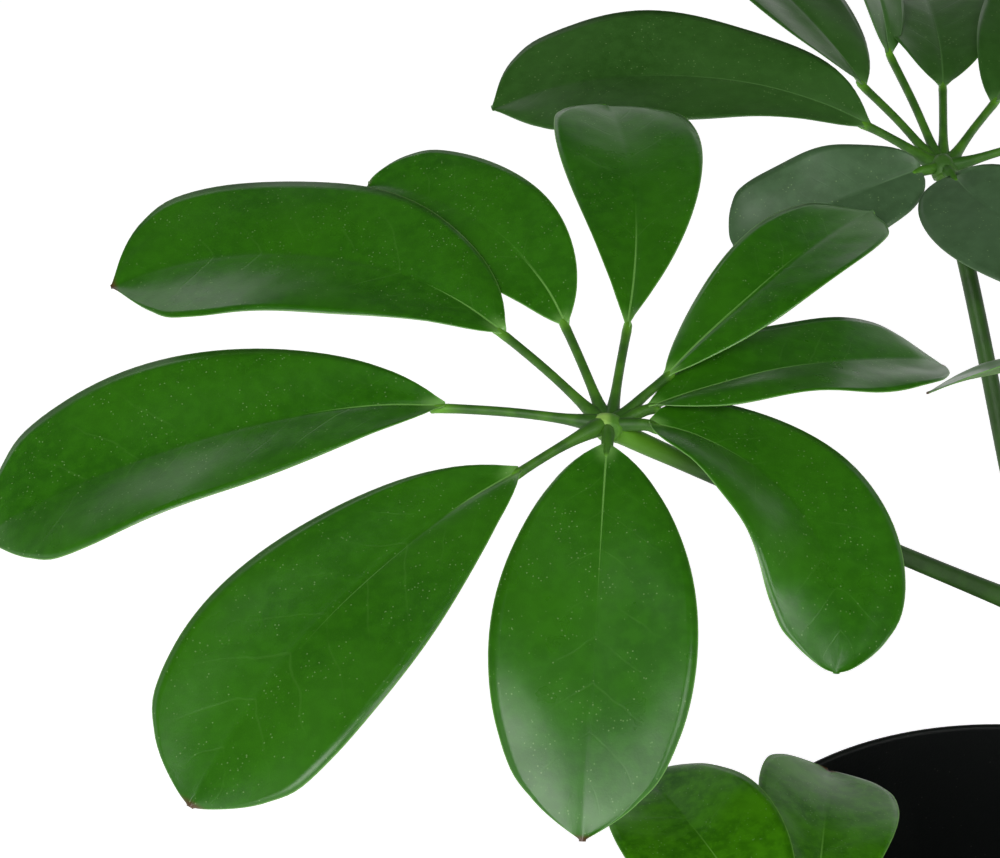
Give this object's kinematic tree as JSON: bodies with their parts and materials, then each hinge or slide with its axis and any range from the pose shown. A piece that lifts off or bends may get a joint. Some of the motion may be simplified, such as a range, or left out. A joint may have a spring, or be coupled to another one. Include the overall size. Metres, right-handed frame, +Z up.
{
  "type": "potted umbrella plant",
  "caption": "Potted umbrella plant: an upright stem in a plain tapered pot, with long-stalked leaves that each spread a wheel of glossy oval leaflets.",
  "frame": {"origin": "centre of the pot's flat underside, on its axis", "axes": "+Z up along the pot's axis and the stem; the largest leaf reaches out towards -X"},
  "size_m": [0.4969, 0.4124, 0.4328],
  "materials": {
    "pot_plastic": "satin",
    "soil": "matte",
    "stem": "satin",
    "petiole": "satin",
    "leaf": "satin",
    "leaf_young": "satin"
  },
  "bodies": {
    "root": {"leaflet_a_1": "leaf", "leaflet_a_2": "leaf", "leaflet_a_3": "leaf", "leaflet_a_4": "leaf", "leaflet_a_5": "leaf", "leaflet_a_6": "leaf", "leaflet_a_7": "leaf", "leaflet_a_8": "leaf", "leaflet_a_9": "leaf", "leaflet_b_1": "leaf", "leaflet_b_2": "leaf", "leaflet_b_3": "leaf", "leaflet_b_4": "leaf", "leaflet_b_5": "leaf", "leaflet_b_6": "leaf", "leaflet_b_7": "leaf", "leaflet_b_8": "leaf", "leaflet_c_1": "leaf_young", "leaflet_c_2": "leaf_young", "leaflet_c_3": "leaf_young", "leaflet_c_4": "leaf_young", "leaflet_c_5": "leaf_young", "leaflet_c_6": "leaf_young", "leaflet_c_7": "leaf_young", "leaflet_d_1": "leaf", "leaflet_d_2": "leaf", "leaflet_d_3": "leaf", "leaflet_d_4": "leaf", "leaflet_d_5": "leaf", "leaflet_d_6": "leaf", "leaflet_d_7": "leaf", "leaflet_e_1": "leaf", "leaflet_e_2": "leaf", "leaflet_e_3": "leaf", "leaflet_e_4": "leaf", "leaflet_e_5": "leaf", "leaflet_e_6": "leaf", "leaflet_e_7": "leaf", "leaflet_f_1": "leaf", "leaflet_f_2": "leaf", "leaflet_f_3": "leaf", "leaflet_f_4": "leaf", "leaflet_f_5": "leaf", "leaflet_f_6": "leaf", "leaflet_f_7": "leaf", "leaflet_g_1": "leaf_young", "leaflet_g_2": "leaf_young", "leaflet_g_3": "leaf_young", "leaflet_g_4": "leaf_young", "leaflet_g_5": "leaf_young", "main_stem": "stem", "petiole_a": "petiole", "petiole_b": "petiole", "petiole_c": "petiole", "petiole_d": "petiole", "petiole_e": "petiole", "petiole_f": "petiole", "petiole_g": "petiole", "pot": "pot_plastic", "potting_soil": "soil"}
  },
  "joints": []
}
